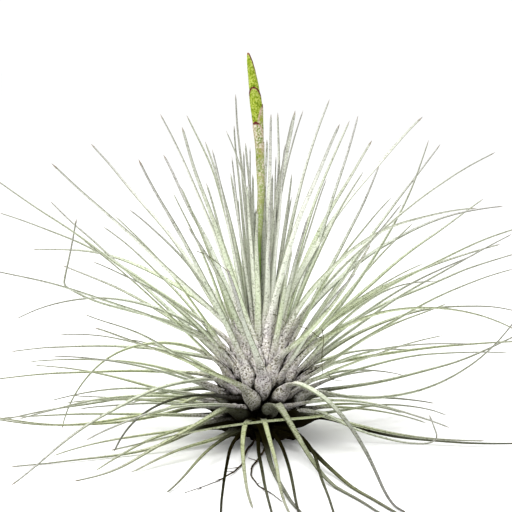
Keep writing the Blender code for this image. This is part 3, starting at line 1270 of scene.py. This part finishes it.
@dataclass
class FineLeaves:
    """The thinner leaves between the main ones, ring by ring and one by one."""

    step: float = 2.2 * MM
    sheath: float = 18.0 * MM
    breadth: float = 6.0 * MM
    crown_breadth: float = 3.4 * MM
    strand_sheath: float = 19.0 * MM
    strand_breadth: float = 4.4 * MM
    strand_plump: float = 0.6
    rings: tuple[Ring, ...] = (
        Ring("heart", 7, 20.0, (23.5, 22.0), (88.0, 80.0), (70.0, 98.0), (-4.0, 12.0), 2.5),
        Ring("inner", 13, 75.0, (22.0, 19.0), (80.0, 64.0), (84.0, 106.0), (0.0, 24.0), 2.5),
        Ring("upper", 14, 140.0, (19.0, 15.0), (62.0, 42.0), (88.0, 108.0), (8.0, 40.0), 2.2),
        Ring("middle", 15, 200.0, (15.0, 11.0), (40.0, 18.0), (84.0, 108.0), (12.0, 46.0), 2.1, 0.2),
        Ring("lower", 14, 260.0, (11.0, 7.0), (16.0, -8.0), (70.0, 100.0), (4.0, 30.0), 2.0, 0.9),
    )
    crown: tuple[Reach, ...] = (
        Reach((-10.0, 8.0, 130.5), 23.5, 88.0, 84.0, 10.0, 2.6),
        Reach((-13.2, -4.0, 117.5), 23.0, 88.0, 64.0, -10.0, 2.6),
        Reach((-10.5, 10.0, 119.0), 23.0, 87.0, 85.0, 14.0, 2.4),
        Reach((-5.8, 6.0, 112.0), 24.0, 88.0, 86.0, -16.0, 2.3),
        Reach((-10.6, -6.0, 108.0), 22.5, 88.0, 84.0, -8.0, 2.6),
        Reach((11.5, -3.0, 122.5), 23.5, 88.0, 73.0, 8.0, 2.8),
        Reach((15.3, 6.0, 124.8), 23.0, 86.0, 67.0, -8.0, 2.8),
        Reach((1.5, 12.0, 113.5), 24.0, 88.0, 86.0, 0.0, 2.3),
        Reach((-5.2, -4.5, 97.0), 24.0, 90.0, 88.0, 8.0, 3.0),
        Reach((-7.0, 3.0, 110.0), 24.0, 88.0, 86.0, -8.0, 2.8),
        Reach((-3.6, 6.0, 101.0), 24.0, 89.0, 88.0, 0.0, 2.8),
        Reach((-8.8, 5.0, 92.0), 23.5, 86.0, 88.0, 10.0, 2.6),
        Reach((2.6, -4.0, 91.0), 24.0, 89.0, 90.0, -8.0, 3.2),
        Reach((-2.6, 5.0, 88.0), 24.0, 90.0, 90.0, 0.0, 3.0),
        Reach((6.4, 2.0, 106.0), 24.0, 88.0, 87.0, 12.0, 3.0),
        Reach((8.6, -3.0, 112.0), 23.5, 87.0, 84.0, -6.0, 3.2),
        Reach((4.0, 7.0, 100.0), 24.0, 88.0, 90.0, 0.0, 3.0),
        Reach((10.6, 5.0, 101.0), 23.5, 85.0, 85.0, 6.0, 3.0),
        Reach((1.2, 5.0, 97.0), 24.0, 90.0, 89.0, 0.0, 3.0),
    )
    left: tuple[Reach, ...] = (
        Reach((-28.5, 10.0, 123.0), 22.0, 80.0, 60.0, 0.0, 2.8),
        Reach((-22.0, 25.0, 112.0), 21.0, 80.0, 60.0, 0.0, 2.4),
        Reach((-87.0, 60.0, 85.0), 17.0, 38.0, 34.0),
        Reach((-102.0, 20.0, 84.0), 18.0, 52.0, 14.0),
        Reach((-91.0, 30.0, 23.0), 11.0, 6.0, 0.0),
        Reach((-98.0, -10.0, 10.0), 10.0, -2.0, -6.0),
        Reach((-52.0, -45.0, 6.0), 14.0, 24.0, -62.0, 0.0, 1.8, 0.9, 0.9, 0.7),
        Reach((-90.0, -20.0, 12.0), 12.0, 16.0, -18.0),
    )
    right: tuple[Reach, ...] = (
        Reach((3.6, 30.0, 122.0), 23.0, 84.0, 88.0, 10.0, 2.6),
        Reach((6.0, 10.0, 124.0), 23.5, 86.0, 92.0, -20.0, 3.0),
        Reach((25.6, 15.0, 128.0), 22.5, 80.0, 64.0, 0.0, 3.0),
        Reach((34.0, 25.0, 120.0), 21.0, 74.0, 56.0),
        Reach((38.0, 35.0, 121.0), 20.0, 64.0, 68.0),
        Reach((47.0, 40.0, 102.0), 19.0, 56.0, 60.0),
        Reach((71.0, 40.0, 110.0), 19.0, 52.0, 46.0),
        Reach((63.0, 10.0, 113.0), 20.0, 46.0, 72.0, 0.0, 2.8),
        Reach((91.0, 60.0, 86.0), 17.0, 46.0, 28.0),
        Reach((94.0, 0.0, 79.0), 17.0, 42.0, 28.0),
        Reach((93.0, -10.0, 67.0), 15.0, 34.0, 16.0),
        Reach((62.0, -30.0, 65.0), 16.0, 44.0, 2.0),
    )
    strands: tuple[Reach, ...] = (
        Reach((-13.0, -107.0, 0.9), 5.0, 14.0, -2.0, -12.0, 1.5, 1.0, 1.0, 0.93),
        Reach((-3.0, -96.0, 0.9), 6.5, 26.0, -2.0, -14.0, 2.1, 1.0, 0.28, 0.3),
        Reach((3.6, -108.0, 0.9), 4.5, 12.0, -2.0, -6.0, 1.6, 1.0, 0.8, 0.82),
        Reach((9.0, -104.0, 0.9), 7.0, 26.0, -2.0, -4.0, 2.1, 1.0, 0.28, 0.3),
        Reach((12.4, -108.0, 0.9), 4.5, 12.0, -2.0, 5.0, 1.6, 1.0, 0.8, 0.85),
        Reach((23.0, -107.0, 0.9), 5.0, 18.0, -2.0, 14.0, 1.6, 1.0, 0.8, 0.8),
        Reach((-32.0, -76.0, 0.9), 5.0, 10.0, -2.0, -8.0, 1.7, 0.9, 0.6, 0.5),
    )
    kinked: tuple[tuple[float, float, float], ...] = (
        (-3.0, 0.0, 20.0),
        (-13.0, 2.0, 33.0),
        (-30.0, 4.0, 43.0),
        (-61.0, 8.0, 51.0),
        (-73.0, 9.5, 56.0),
        (-75.4, 10.0, 58.0),
        (-75.2, 10.4, 61.0),
        (-73.2, 11.0, 70.0),
        (-70.7, 12.0, 83.0),
    )
    hooked: tuple[tuple[float, float, float], ...] = (
        (3.0, -3.0, 9.0),
        (12.0, -11.0, 13.5),
        (22.0, -19.0, 14.5),
        (34.0, -27.0, 10.5),
        (48.0, -31.0, 7.2),
        (58.0, -33.0, 6.6),
        (62.6, -33.5, 8.6),
        (61.6, -32.5, 13.0),
        (60.0, -31.0, 17.0),
    )
    crossing: tuple[tuple[float, float, float], ...] = (
        (5.0, 2.0, 8.0),
        (14.0, -1.0, 10.0),
        (21.5, -8.0, 12.0),
        (23.5, -17.0, 13.4),
        (16.0, -25.0, 14.2),
        (2.0, -29.5, 14.0),
        (-14.0, -31.5, 12.4),
        (-30.0, -33.5, 9.8),
        (-54.0, -37.0, 5.0),
    )
    fibres: tuple[tuple[tuple[float, float, float], ...], ...] = (
        ((4.0, -12.0, 50.0), (5.6, -12.5, 49.6), (8.0, -13.0, 48.0), (9.2, -13.0, 46.6)),
        ((14.0, -14.0, 46.0), (17.5, -14.5, 44.6), (20.5, -15.0, 42.4), (22.4, -15.0, 41.8)),
        ((22.0, -16.0, 45.5), (22.6, -16.4, 41.0), (22.0, -17.0, 35.0), (22.4, -17.0, 28.0)),
        ((24.0, -18.0, 30.0), (25.2, -18.0, 27.4), (27.0, -18.2, 26.6), (30.0, -18.6, 26.4)),
        ((-16.0, -14.0, 38.0), (-14.0, -14.0, 37.4), (-11.0, -14.0, 34.4), (-9.0, -14.0, 32.0)),
        ((-24.0, -8.0, 73.0), (-20.0, -8.4, 71.4), (-15.0, -9.0, 67.6), (-11.5, -9.0, 64.4)),
    )

    def leaf_on(self, spine: Spine, height: float, width: float, tone: float) -> Leaf:
        """The leaf that grows along a line.

        Args:
            spine: its middle line.
            height: how high its foot stands, in millimetres.
            width: how wide its blade is at the neck, in millimetres.
            tone: how cool its green is.

        Returns:
            The leaf.
        """
        youth = min(max(height * MM / STEM_HEIGHT, 0.0), 1.0)
        return Leaf(
            spine=spine,
            youth=youth,
            tone=tone,
            sheath=self.sheath,
            breadth=mix(self.breadth, self.crown_breadth, ease((youth - 0.8) * 5.0)),
            neck=width * MM,
            fineness=0.74 * MM,
            taper=mix(0.7, 1.0, youth),
            plump=mix(0.95, 0.6, youth),
            sides=10,
        )

    def build(self, finish: bpy.types.Material) -> list[bpy.types.Object]:
        """Builds and dresses them, a piece for each group.

        Args:
            finish: the leaf finish.

        Returns:
            The pieces.
        """
        chance = random.Random(SEED + 1)
        groups = [(ring.name, ring.reaches(chance)) for ring in self.rings]
        groups += [("crown", self.crown), ("left", self.left)]
        groups += [("right", self.right), ("strands", self.strands)]
        made = []
        for name, reaches in groups:
            growth = Growth()
            for reach in reaches:
                spine = reach.spine(self.step, chance.uniform(0.0, 90.0))
                leaf = self.leaf_on(spine, reach.height, reach.width, chance.random())
                leaf.dark, leaf.dark_reach, leaf.dark_rest = reach.dark, reach.dark_reach, reach.dark_rest
                if reaches is self.strands:
                    leaf.tone, leaf.plump = 0.0, self.strand_plump
                    leaf.sheath, leaf.breadth = self.strand_sheath, self.strand_breadth
                leaf.grow(growth)
            made.append(dress(growth.link(f"fine_leaves_{name}"), finish, Slot.LEAF))
        made.append(self.build_fibres())
        for name, knots, width, fineness in (
            ("kinked", self.kinked, 2.6, 1.0),
            ("hooked", self.hooked, 2.0, 0.8),
            ("crossing", self.crossing, 1.8, 0.9),
        ):
            growth = Growth()
            spine = Spine.through([Vector(knot) * MM for knot in knots], self.step * 0.6)
            leaf = self.leaf_on(spine, knots[0][2], width, chance.random())
            leaf.fineness = fineness * MM
            leaf.grow(growth)
            made.append(dress(growth.link(f"fine_leaf_{name}"), finish, Slot.LEAF))
        return made

    def build_fibres(self) -> bpy.types.Object:
        """Builds the few dry fibres that have strayed over the leaves.

        Returns:
            The piece.
        """
        growth = Growth()
        for knots in self.fibres:
            line = Spine.through([Vector(knot) * MM for knot in knots], 0.6 * MM)
            add_wire(growth, line, 0.3 * MM, 0.24 * MM)
        finish = FibreFinish("dry_fibre", (0.05, 0.05, 0.02), (0.12, 0.11, 0.05)).make()
        return dress(growth.link("stray_fibres"), finish, Slot.LEAF)


@dataclass
class PaintedOcclusion:
    """How closely the leaves stand round each point, kept as painted shade that darkens the crevices where they
    crowd.
    """

    reach: float = 7.0 * MM
    lift: float = 0.15 * MM
    rays: int = 14
    least_sheath: float = 0.01

    def directions(self) -> list[Vector]:
        """Spreads directions over the half of the sphere round +Z, more of them near its middle.

        Returns:
            The directions.
        """
        found = []
        for i in range(self.rays):
            flat = math.sqrt((i + 0.5) / self.rays)
            turn = math.radians(GOLDEN_ANGLE * i)
            found.append(Vector((flat * math.cos(turn), flat * math.sin(turn), math.sqrt(1.0 - flat * flat))))
        return found

    def mark(self, pieces: list[bpy.types.Object]) -> None:
        """Stores at each point of the leaves how much of what it faces is another leaf.

        Args:
            pieces: the leaves, all of them.
        """
        points: list[Vector] = []
        faces: list[list[int]] = []
        for piece in pieces:
            first = len(points)
            points += [vert.co.copy() for vert in piece.data.vertices]
            faces += [[first + i for i in polygon.vertices] for polygon in piece.data.polygons]
        tree = BVHTree.FromPolygons(points, faces)
        ways = self.directions()
        for piece in pieces:
            mesh = piece.data
            sheath = [0.0] * len(mesh.vertices)
            mesh.attributes[Channel.SHEATH.value].data.foreach_get("value", sheath)
            crowd = [
                self.share_hidden(tree, vert, ways) if held > self.least_sheath else 0.0
                for vert, held in zip(mesh.vertices, sheath)
            ]
            mesh.attributes[Channel.CROWD.value].data.foreach_set("value", crowd)

    def share_hidden(self, tree: BVHTree, vert: bpy.types.MeshVertex, ways: list[Vector]) -> float:
        """The share of the directions from a point that meet a leaf within reach.

        Args:
            tree: all the leaves.
            vert: the point.
            ways: directions round +Z.

        Returns:
            The share, from 0 to 1.
        """
        turn = vert.normal.to_track_quat("Z", "Y")
        start = vert.co + vert.normal * self.lift
        met = sum(tree.ray_cast(start, turn @ way, self.reach)[0] is not None for way in ways)
        return met / len(ways)


# Spike ------------------------------------------------------------------------------------------------------


@dataclass(frozen=True)
class Bract:
    """One pointed sheath of the spike, in millimetres and degrees."""

    name: str
    foot: float
    tip: float
    turn: float
    wrap: float
    lift: float
    youth: float
    nodes: tuple[str, ...] = ()


@dataclass
class FlowerSpike:
    """The budding spike: a leaning stalk in overlapping bracts, closed by a pointed one."""

    foot: float = 24.0
    top: float = 145.8
    stalk_end: float = 138.0
    point_foot: float = 119.0
    point_turn: float = -205.0
    point_wrap: float = 192.0
    # It bows to one side over its lowest stretch and leans more and more towards its tip.
    bow: float = 1.7
    bowed: float = 70.0
    lean: float = 5.4
    leaning: float = 123.0
    rows: int = 34
    columns: int = 18
    girth: tuple[tuple[float, float], ...] = (
        (24.0, 1.4),
        (70.0, 1.1),
        (92.0, 1.12),
        (104.0, 1.28),
        (112.0, 1.42),
        (119.0, 1.68),
        (126.0, 2.0),
        (133.0, 1.84),
        (139.0, 1.5),
        (142.0, 1.2),
        (144.4, 0.78),
        (145.8, 0.36),
    )
    bracts: tuple[Bract, ...] = (
        Bract("low_bract_1", 42.0, 72.0, -58.0, 120.0, 0.2, 0.1),
        Bract("low_bract_2", 58.0, 80.0, -125.0, 118.0, 0.22, 0.25, ("bract_1",)),
        Bract("low_bract_3", 64.0, 86.0, 130.0, 118.0, 0.24, 0.3),
        Bract("mid_bract_1", 68.0, 90.5, -78.0, 120.0, 0.28, 0.35),
        Bract("mid_bract_2", 74.0, 97.0, 55.0, 120.0, 0.3, 0.35),
        Bract("mid_bract_3", 79.0, 102.0, -98.0, 120.0, 0.34, 0.4, ("bract_2",)),
        Bract("mid_bract_4", 84.0, 108.0, 125.0, 120.0, 0.34, 0.45),
        Bract("mid_bract_5", 88.0, 113.0, 8.0, 122.0, 0.36, 0.45),
        Bract("top_bract_1", 97.0, 120.6, -112.0, 128.0, 0.38, 0.6, ("bract_3",)),
        Bract("top_bract_2", 102.0, 127.0, 4.0, 120.0, 0.36, 0.72),
        Bract("top_bract_3", 104.0, 124.0, 110.0, 120.0, 0.32, 0.75),
        Bract("top_bract_4", 110.0, 133.4, -94.0, 132.0, 0.34, 0.95, ("bract_4",)),
    )

    def middle(self, height: float) -> Vector:
        """Finds its middle.

        Args:
            height: how high up, in millimetres.

        Returns:
            The middle there, in metres.
        """
        risen = max(height - self.foot, 0.0)
        bow = self.bow * math.sin(math.pi * min(risen / self.bowed, 1.0))
        return Vector((-self.lean * (risen / self.leaning) ** 5.0 - bow, 0.0, height)) * MM

    def radius(self, height: float) -> float:
        """Its radius in metres, at a height in millimetres."""
        return profile(self.girth, height) * MM

    def build(self, finish: bpy.types.Material, stalk: bpy.types.Material) -> list[bpy.types.Object]:
        """Builds and dresses the stalk and its bracts.

        Args:
            finish: the bract finish.
            stalk: the stalk finish.

        Returns:
            The pieces.
        """
        made = [self.build_stalk(stalk), self.build_point(finish)]
        for bract in self.bracts:
            growth = Growth()
            growth.shell(self.bract_rows(bract))
            made.append(dress(growth.link(bract.name), finish, Slot.BRACT, *bract.nodes))
        return made

    def build_stalk(self, finish: bpy.types.Material) -> bpy.types.Object:
        """Builds the stalk, which shows between the bracts and below them.

        Args:
            finish: the stalk finish.

        Returns:
            The piece.
        """
        growth = Growth()
        sections = []
        count = 110
        side, over = Vector((1.0, 0.0, 0.0)), Vector((0.0, -1.0, 0.0))
        for i in range(count):
            height = mix(self.foot, self.stalk_end - 2.0, i / count)
            swell = 1.0 + 0.05 * math.sin(height * 1.9) * math.sin(height * 0.37)
            width = 1.84 * self.radius(height) * swell
            marks = {Channel.ALONG: i / count, Channel.YOUTH: i / count}
            sections.append(Section(self.middle(height), side, over, width, width, marks=marks))
        growth.loft(sections, self.middle(self.stalk_end), 20)
        return dress(growth.link("flower_stalk"), finish, Slot.STALK, "spike_stalk")

    def build_point(self, finish: bpy.types.Material) -> bpy.types.Object:
        """Builds the rolled bract that closes the spike, one margin lying over the other.

        Args:
            finish: the bract finish.

        Returns:
            The piece.
        """
        rows = []
        half = math.radians(self.point_wrap)
        for i in range(self.rows + 1):
            share = i / self.rows
            height = mix(self.point_foot, self.top, share)
            row = []
            for j in range(2 * self.columns + 1):
                across = j / self.columns - 1.0
                turn = math.radians(self.point_turn) + half * across
                over = 0.16 * MM * (0.5 + 0.5 * across) * (1.0 - share)
                near = (1.0 - abs(across)) * half * self.radius(height)
                marks = self.skin_marks(share, near, 1.0)
                row.append((*self.skin_points(height, turn, over, 0.1 * MM), marks))
            rows.append(row)
        growth = Growth()
        growth.shell(rows)
        return dress(growth.link("pointed_bract"), finish, Slot.BRACT, "bract_5_bud")

    def skin_points(self, height: float, turn: float, lift: float, thickness: float) -> tuple[Vector, Vector]:
        """A place on a bract, outside and inside.

        Args:
            height: how high it is, in millimetres.
            turn: the direction it faces, in radians.
            lift: how far it stands off the spike's own girth, in metres.
            thickness: how thick the bract is, in metres.

        Returns:
            The outer and inner points.
        """
        way = Vector((math.cos(turn), math.sin(turn), 0.0))
        outer = self.radius(height) + lift
        inner = max(outer - thickness, 0.3 * outer)
        return self.middle(height) + way * outer, self.middle(height) + way * inner

    def skin_marks(self, share: float, near: float, youth: float) -> dict[Channel, float]:
        """Finds the marks at a place on a bract.

        Args:
            share: the share of its length passed.
            near: how near its margin is, in metres.
            youth: how young the bract is.

        Returns:
            The marks.
        """
        return {
            Channel.ALONG: share,
            Channel.EDGE: 1.0 - min(max(near, 0.0) / (0.9 * MM), 1.0),
            Channel.YOUTH: youth,
        }

    def bract_rows(self, bract: Bract) -> list[list[tuple[Vector, Vector, dict[Channel, float]]]]:
        """The rows of a bract's sheet, which narrows to a rounded point.

        Args:
            bract: its sizes.

        Returns:
            The rows, from foot to tip.
        """
        rows = []
        for i in range(self.rows + 1):
            share = min(i / self.rows, 0.999)
            height = mix(bract.foot, bract.tip, share)
            to_tip = (1.0 - share) * (bract.tip - bract.foot) * MM
            half = math.radians(bract.wrap) * (1.0 - share**4.0) ** 0.6
            lift = (0.04 + bract.lift * share**1.3) * MM
            row = []
            for j in range(self.columns + 1):
                across = 2.0 * j / self.columns - 1.0
                near = min((1.0 - abs(across)) * half * self.radius(height), to_tip)
                keel = 0.12 * MM * (1.0 - abs(across)) ** 2 * share
                turn = math.radians(bract.turn) + half * across
                marks = self.skin_marks(share, near, bract.youth)
                row.append((*self.skin_points(height, turn, lift + keel, 0.18 * MM), marks))
            rows.append(row)
        return rows


# Foot -------------------------------------------------------------------------------------------------------


@dataclass
class Foot:
    """The short dark stem, its dead leaf bases and its roots."""

    height: float = STEM_HEIGHT / MM
    flare: float = 6.0
    top: float = 2.3
    scales: int = 44
    rootlets: int = 4
    roots: tuple[str, ...] = ("root_1", "root_2", "root_3")

    def build(self, fibre: bpy.types.Material, wire: bpy.types.Material) -> list[bpy.types.Object]:
        """Builds and dresses it.

        Args:
            fibre: the stem's finish.
            wire: the roots' finish.

        Returns:
            The pieces.
        """
        chance = random.Random(SEED + 2)
        made = [self.build_stem(fibre), self.build_scales(fibre, chance)]
        made += [self.build_root(name, wire, chance) for name in self.roots]
        return made

    def build_stem(self, finish: bpy.types.Material) -> bpy.types.Object:
        """Builds the stem, rough with the scars of old leaves.

        Args:
            finish: the stem's finish.

        Returns:
            The piece.
        """
        growth = Growth()
        rows, sides = 34, 40
        numbers = []
        for i in range(rows):
            height = mix(0.05, self.height, i / (rows - 1))
            foot = 1.0 - 0.25 * ease(1.0 - height / 2.5)
            row = []
            for j in range(sides):
                turn = 2.0 * math.pi * j / sides
                scar = 0.35 * math.sin(5.0 * turn + height * 1.7) * math.sin(3.0 * turn - height * 1.1)
                at = Vector((math.cos(turn) * 2.6, math.sin(turn) * 2.6, height * 0.78))
                rough = 0.55 * noise.noise(at) + scar
                out = (mix(self.flare, self.top, height / self.height) * foot + rough * 0.7) * MM
                point = Vector((out * math.cos(turn), out * math.sin(turn), height * MM))
                row.append(growth.add(point, {Channel.ALONG: height / self.height}))
            numbers.append(row)
        growth.bridge(numbers)
        return dress(growth.link("dark_stem"), finish, Slot.STEM, "stem")

    def build_scales(self, finish: bpy.types.Material, chance: random.Random) -> bpy.types.Object:
        """Builds the ring of dead, frayed leaf bases round the stem's foot, big and many so that their
        near-black mass also stands in for the shade under the bulb.

        Args:
            finish: the stem's finish.
            chance: the source of their small differences.

        Returns:
            The piece.
        """
        growth = Growth()
        for i in range(self.scales):
            up = i / self.scales
            turn = math.radians(GOLDEN_ANGLE * i + chance.uniform(-10.0, 10.0))
            height = mix(1.2, 10.5, up)
            rise = mix(-12.0, 16.0, up) + chance.uniform(-10.0, 10.0)
            length = mix(8.0, 13.0, up) * chance.uniform(0.8, 1.25)
            foot = Vector((math.cos(turn) * 4.0, math.sin(turn) * 4.0, height)) * MM
            tip = foot + heading(turn + chance.uniform(-0.4, 0.4), rise) * (length * MM)
            tip.z = max(tip.z, 0.5 * MM)
            bulge = foot.lerp(tip, 0.5) + Vector((0.0, 0.0, chance.uniform(0.2, 1.4) * MM))
            spine = Spine.through([foot, bulge, tip], 0.8 * MM)
            frames = spine.frames(Vector((-math.sin(turn), math.cos(turn), 0.0)))
            sections = []
            wide = chance.uniform(3.0, 5.4) * MM
            for j, ((side, over), point) in enumerate(zip(frames[:-1], spine.points[:-1])):
                share = j / (len(spine.points) - 1)
                width = wide * (1.0 - share**1.6) + 0.25 * MM
                thickness, cup, marks = min(0.9 * MM, width), 0.25 * width, {Channel.ALONG: share}
                sections.append(Section(point, side, over, width, thickness, cup, 0.2, marks))
            growth.loft(sections, spine.points[-1], 10)
        return dress(growth.link("dead_leaf_bases"), finish, Slot.STEM)

    def build_root(self, name: str, finish: bpy.types.Material, chance: random.Random) -> bpy.types.Object:
        """Builds a wiry root along its solid's middle line, with fine rootlets.

        Args:
            name: the solid's name.
            finish: the roots' finish.
            chance: the source of its small differences.

        Returns:
            The piece.
        """
        growth = Growth()
        line = Spine.through(ring_middles(name), 1.6 * MM)
        line = line.wavered(0.8 * MM, 9.0 * MM, chance.uniform(0.0, 50.0), 0.5 * MM)
        add_wire(growth, line, 0.9 * MM, 0.26 * MM)
        for _ in range(self.rootlets):
            at = line.points[chance.randrange(len(line.points) // 5, len(line.points) - 4)]
            turn = chance.uniform(0.0, 2.0 * math.pi)
            reach = chance.uniform(3.0, 6.5) * MM
            end = at + Vector((math.cos(turn), math.sin(turn), 0.0)) * reach
            end.z = 0.35 * MM
            bend = at.lerp(end, 0.5) + Vector((-math.sin(turn), math.cos(turn), 0.3)) * (0.16 * reach)
            add_wire(growth, Spine.through([at, bend, end], 1.0 * MM), 0.36 * MM, 0.12 * MM)
        return dress(growth.link(f"wiry_{name}"), finish, Slot.ROOT, name)


# Studio -----------------------------------------------------------------------------------------------------


@dataclass
class Studio:
    """The floor, the soft lights and the camera."""

    floor_radius: float = 9.0
    lens: float = 111.02
    sensor: float = 36.0
    camera_place: tuple[float, float, float] = (0.0, -0.58689, 0.14755)
    camera_dip: float = 7.51
    camera_turn: float = 0.2177

    def build(self) -> None:
        """Builds all of it."""
        self.build_floor()
        self.build_lights()
        self.build_camera()
        bpy.context.scene.view_settings.view_transform = "Standard"

    def build_floor(self) -> None:
        """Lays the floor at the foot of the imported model."""
        build = bmesh.new()
        bmesh.ops.create_circle(build, cap_ends=True, radius=self.floor_radius, segments=96)
        mesh = bpy.data.meshes.new("floor")
        build.to_mesh(mesh)
        build.free()
        floor = bpy.data.objects.new("floor", mesh)
        bpy.context.scene.collection.objects.link(floor)
        floor.location.z = CAD_BOX[0][2]
        mesh.materials.append(FloorFinish().make())

    def build_lights(self) -> None:
        """Sets a broad light above, one in front on the left and a white surround."""
        self.add_light("top_light", (-0.3, -0.2, 0.95), 0.6, 9.0)
        self.add_light("front_light", (-0.4, -0.9, 0.5), 0.8, 3.4)
        world = bpy.data.worlds.new("surround")
        bpy.context.scene.world = world
        world.use_nodes = True
        background = world.node_tree.nodes["Background"]
        background.inputs["Color"].default_value = (1.0, 1.0, 1.0, 1.0)
        background.inputs["Strength"].default_value = 1.08

    def add_light(self, name: str, place: tuple[float, float, float], size: float, power: float) -> None:
        """Adds a square light that faces the plant.

        Args:
            name: its name.
            place: where it stands.
            size: its side, in metres.
            power: its power, in watts.
        """
        lamp = bpy.data.lights.new(name, "AREA")
        lamp.size = size
        lamp.energy = power
        light = bpy.data.objects.new(name, lamp)
        bpy.context.scene.collection.objects.link(light)
        light.location = place
        light.rotation_euler = (Vector((0.0, 0.0, 0.05)) - Vector(place)).to_track_quat("-Z", "Y").to_euler()

    def build_camera(self) -> None:
        """Places the camera a little above level, so that the bulb lies low in its view."""
        optics = bpy.data.cameras.new("camera")
        optics.sensor_width = self.sensor
        optics.lens = self.lens
        optics.clip_start = 0.01
        optics.clip_end = 60.0
        camera = bpy.data.objects.new("camera", optics)
        bpy.context.scene.collection.objects.link(camera)
        camera.location = self.camera_place
        camera.rotation_euler = (math.radians(90.0 - self.camera_dip), 0.0, math.radians(self.camera_turn))
        bpy.context.scene.camera = camera


# All of it --------------------------------------------------------------------------------------------------


def main() -> None:
    """Builds the plant and its studio."""
    logging.basicConfig(level=logging.INFO, format="%(name)s: %(message)s")
    noise.seed_set(WANDER_SEED)
    leaf_finish = LeafFinish().make()
    main_leaves = Rosette().build(leaf_finish)
    fine_leaves = FineLeaves().build(leaf_finish)
    PaintedOcclusion().mark(main_leaves + fine_leaves)
    wire_finish = FibreFinish("root_wire", (0.012, 0.008, 0.004), (0.09, 0.06, 0.03)).make()
    groups = {
        "main leaves": main_leaves,
        "fine leaves": fine_leaves,
        "flower spike": FlowerSpike().build(BractFinish().make(), StalkFinish().make()),
        "foot": Foot().build(FibreFinish().make(), wire_finish),
    }
    for name, pieces in groups.items():
        for piece in pieces:
            LOG.info("%s: %s, %d faces", name, piece.name, len(piece.data.polygons))
    Studio().build()


if __name__ == "__main__":
    main()
